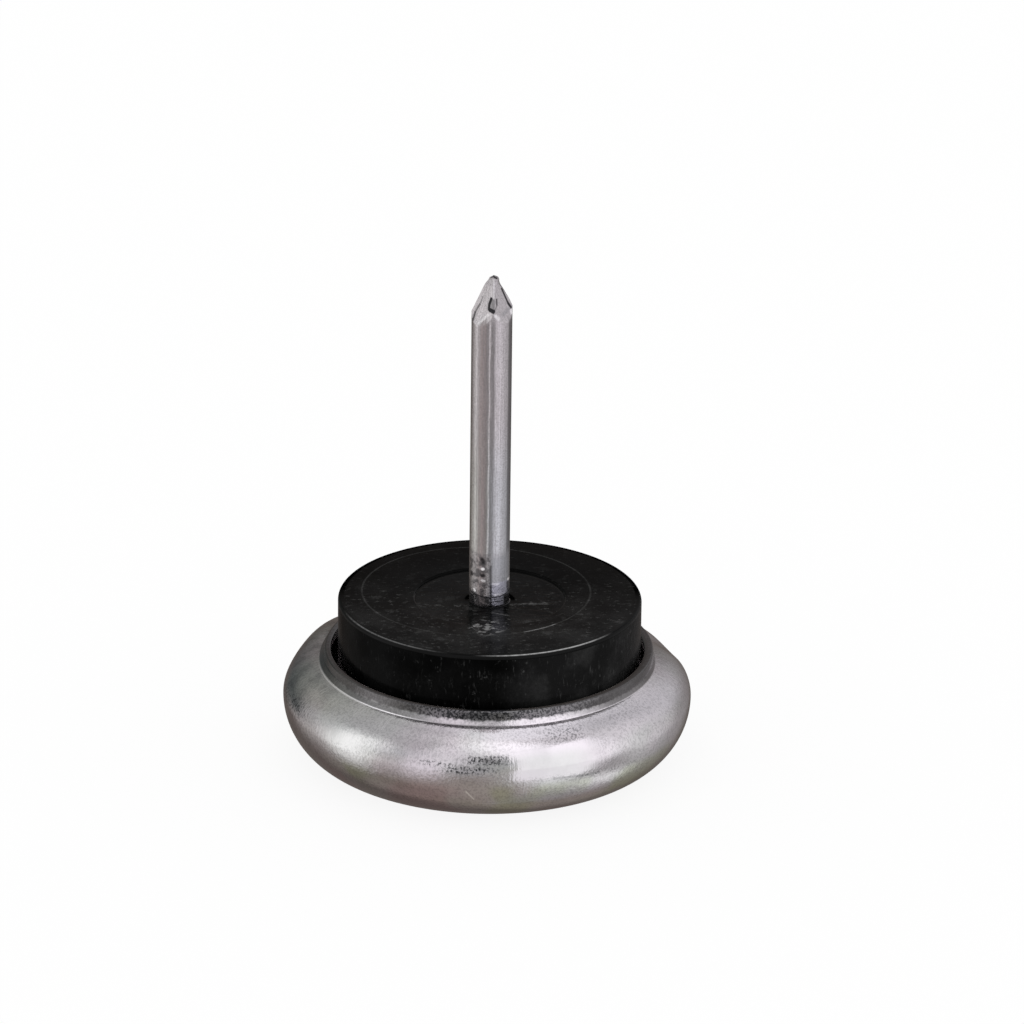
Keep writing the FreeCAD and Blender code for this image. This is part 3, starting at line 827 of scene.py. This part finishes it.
def rubber():
    """Black moulded rubber: a bloom of dust on top, black edges, fine upright marks on its side, with painted
    light: a lighter front and right, highlights on the top edge and witness ring, the nail's reflection and
    shade in the recess.
    """
    material, graph = new_material("rubber_black")
    place = Place(graph, CUSHION_ASIDE)
    fine = graph.noise(place.point, 4200, 3.0, 0.65)
    cloud = graph.noise(place.point, 380, 4.0, 0.6)
    smear = graph.noise(place.point, 900, 4.0, 0.7)
    grit = graph.noise(place.stretched(1.0, 1.6), 2100, 4.0, 0.7)
    waves = graph.noise(place.stretched(1.0, 2.5), 1100, 2.0, 0.5)
    bloom = graph.times(graph.smooth(cloud, 0.38, 0.64), graph.smooth(fine, 0.3, 0.7, 0.5, 1.0))
    top = graph.smooth(place.height, 10.6, 10.68)
    recess = graph.smooth(place.reach, 4.95, 4.85)
    # Painted shade round the nail's hole, behind the nail
    mouth = graph.times(graph.smooth(place.reach, 1.75, 1.6), top, graph.smooth(place.y, -0.4, 0.2))

    side_tint = rubber_side(graph, place, bloom, smear, grit)
    tint = graph.mix(top, side_tint, rubber_top(graph, place, bloom, smear, grit))
    tint = rubber_edge_highlight_and_ring(graph, place, tint, top, fine, smear)
    tint = rubber_recess(graph, place, tint, top, mouth, grit)

    normal = graph.bump(fine, 0.006)
    normal = graph.bump(smear, 0.03, normal)
    normal = graph.bump(graph.times(waves, recess), 0.06, normal)
    # Glossier towards the front and in the recess, matt in the mouth and on the rim behind
    gloss = graph.times(graph.smooth(place.y, 6.0, -6.0, 0.015, 0.045), top)
    gloss = graph.most(gloss, graph.smooth(recess, 0.0, 1.0, 0.02, 0.035))
    rim_behind = graph.times(graph.smooth(place.reach, 9.5, 9.6), graph.smooth(place.y, -1.0, 1.5), top)
    gloss = graph.times(gloss, graph.rest(graph.most(mouth, rim_behind)))
    shader = graph.add("ShaderNodeBsdfPrincipled", {
        "Base Color": tint, "Metallic": 0.0, "Normal": normal, "Specular IOR Level": gloss,
        "Roughness": graph.smooth(cloud, 0.3, 0.7, 0.10, 0.18),
    })
    finish_material(graph, shader)
    return material


# Pieces

def stand_for(piece, material, node):
    """Give a piece its material, and let it stand for a node of the CAD model."""
    piece.data.materials.append(material)
    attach(piece, "root")
    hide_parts(node)


def uneven(turn, radius, height):
    """Small faults of the cup: a dent behind on the right, a fuller crown on the left, a collar set aside."""
    def near(centre_turn, half_turn, centre_height, half_height):
        off = (math.degrees(turn) - centre_turn + 180) % 360 - 180
        return math.exp(-((off / half_turn) ** 2) - ((height - centre_height) / half_height) ** 2)

    if radius < 10.6:
        return 0.0, 0.0
    dent = -0.28 * near(21, 7, 5.9, 0.8)
    full = 0.34 * near(150, 17, 6.1, 0.9)
    aside = COLLAR_ASIDE * math.cos(turn) * min(1.0, max(0.0, (height - 6.5) / 0.4))
    return dent + full * 0.5 + aside, dent * 0.4 + full


def build_base_cup(material):
    """The drawn sheet: up the outer roll and the crown, over the collar, and back down the inside."""
    roll_centre, crown_centre = BASE_RADIUS - ROLL_WIDTH, BASE_RADIUS - CROWN_WIDTH
    crease_angle = math.degrees(math.acos((CREASE_RADIUS - BASE_RADIUS + CROWN_WIDTH) / CROWN_WIDTH))
    roll = ellipse_points(roll_centre, ROLL_HEIGHT, ROLL_WIDTH, ROLL_HEIGHT, -90, 0, 40)
    crown = ellipse_points(crown_centre, ROLL_HEIGHT, CROWN_WIDTH, CROWN_RISE, 0, crease_angle, 36)
    inner_crown = ellipse_points(
        crown_centre, ROLL_HEIGHT, CROWN_WIDTH - SHEET, CROWN_RISE - SHEET, crease_angle - 12, 0, 14
    )
    inner_roll = ellipse_points(
        roll_centre, ROLL_HEIGHT, ROLL_WIDTH - SHEET, ROLL_HEIGHT - SHEET, 0, -90, 16
    )
    collar = rounded([
        (*crown[-3], 0), (*crown[-1], 0), (BEND_RADIUS, BEND_HEIGHT, 0.2), (LIP_RADIUS, LIP_HEIGHT, 0.12),
        (LIP_RADIUS - SHEET, LIP_HEIGHT - 0.04, 0.12), (BEND_RADIUS - SHEET, BEND_HEIGHT - 0.1, 0.2),
        (*inner_crown[0], 0),
    ], 6)
    profile = [(0, 0)] + roll + crown[1:-3] + collar + inner_crown[1:] + inner_roll[1:] + [(0, SHEET)]
    cup = lathe("cup_shell", profile, CUP_SEGMENTS, crease_angle=25, shift=uneven, aside=CUP_ASIDE)
    stand_for(cup, material, "base_cup")


def build_cushion(material):
    """A round puck on a flange, with a pocket for the washer below and a shallow recess on top."""
    profile = rounded([
        (POCKET_RADIUS, SHEET, 0), (RUBBER_FOOT_RADIUS, SHEET, 0),
        (FLANGE_RADIUS, NEST_HEIGHT, 0.1), (FLANGE_RADIUS, FLANGE_TOP, 0.4),
        (CUSHION_RADIUS, FLANGE_TOP, 0), (CUSHION_RADIUS, CUSHION_TOP, 0.22),
        (RECESS_RADIUS, CUSHION_TOP, 0.1), (RECESS_RADIUS, RECESS_FLOOR, 0.06),
        (MOUTH_RADIUS, RECESS_FLOOR, 0), (HOLE_RADIUS, RECESS_FLOOR - NECK_TAPER, 0),
        (HOLE_RADIUS, WASHER_TOP, 0), (POCKET_RADIUS, WASHER_TOP, 0),
    ], 5)
    cushion = lathe("cushion_block", profile, CUSHION_SEGMENTS, crease_angle=40, aside=CUSHION_ASIDE)
    cushion.visible_glossy = False
    stand_for(cushion, material, "rubber_cushion")


def facet_limit(turn, height):
    """How far out the four facets let the nail reach in one direction at one height."""
    down = TIP_HEIGHT - height
    half = POINT_WIDTH / 2 + down * (SHANK_RADIUS - POINT_WIDTH / 2) / POINT_LENGTH
    # The facets bulge towards their lower ends
    half += BULGE * max(0.0, down - BULGE_START) ** 2
    reach = math.inf
    for side in range(4):
        normal = math.radians(45 + 90 * side)
        lean = math.cos(turn - normal)
        if lean > 0.01:
            reach = min(reach, (half + POINT_OFFSET * math.cos(normal)) / lean)
    return reach


def end_radius(from_tip):
    """The nail's radius near its end, before the facets cut it: a round dome that runs into a cone."""
    if from_tip < POINT_ROUND:
        return math.sqrt(max(0.0, 2 * POINT_ROUND * from_tip - from_tip**2))
    return min(SHANK_RADIUS, POINT_ROUND + (from_tip - POINT_ROUND) * 0.6)


def build_nail(material):
    """Head, neck and drawn shank as a lathe whose upper end is limited by the facets."""
    body = rounded([
        (HEAD_RADIUS, HEAD_BOTTOM, 0.2), (HEAD_RADIUS, HEAD_TOP, 0.2), (NECK_RADIUS, HEAD_TOP, 0),
        (NECK_RADIUS, RECESS_FLOOR - NECK_TAPER, 0), (SHANK_RADIUS, RECESS_FLOOR, 0),
        (SHANK_RADIUS, RECESS_FLOOR + 1, 0),
    ], 4)[:-1]
    profile = [(0, HEAD_BOTTOM)] + body
    height = RECESS_FLOOR + 0.1
    while height < 29:
        profile.append((SHANK_RADIUS, height))
        height += 0.4
    while height < TIP_HEIGHT - POINT_ROUND * 0.3:
        profile.append((end_radius(TIP_HEIGHT - height), height))
        height += 0.045
    profile.append((0, TIP_HEIGHT))

    def to_facets(turn, radius, height):
        return min(0.0, facet_limit(turn, height) - radius), 0.0

    def to_point(height):
        return POINT_OFFSET * min(1.0, max(0.0, (height - TIP_HEIGHT + 0.6) / 0.3))

    nail = lathe(
        "nail_wire", profile, NAIL_SEGMENTS, crease_angle=9, shift=to_facets, aside=NAIL_ASIDE, lean=to_point
    )
    stand_for(nail, material, "nail")


def dress_washer(material):
    """The washer keeps the form that the CAD model gives it."""
    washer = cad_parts["nail_washer"]
    washer.data.materials.clear()
    washer.data.materials.append(material)


build_surroundings()
build_floor()
build_camera()
bpy.context.scene.view_settings.view_transform = "Standard"

build_base_cup(cup_plating())
build_cushion(rubber())
build_nail(nail_plating())
dress_washer(washer_plating())
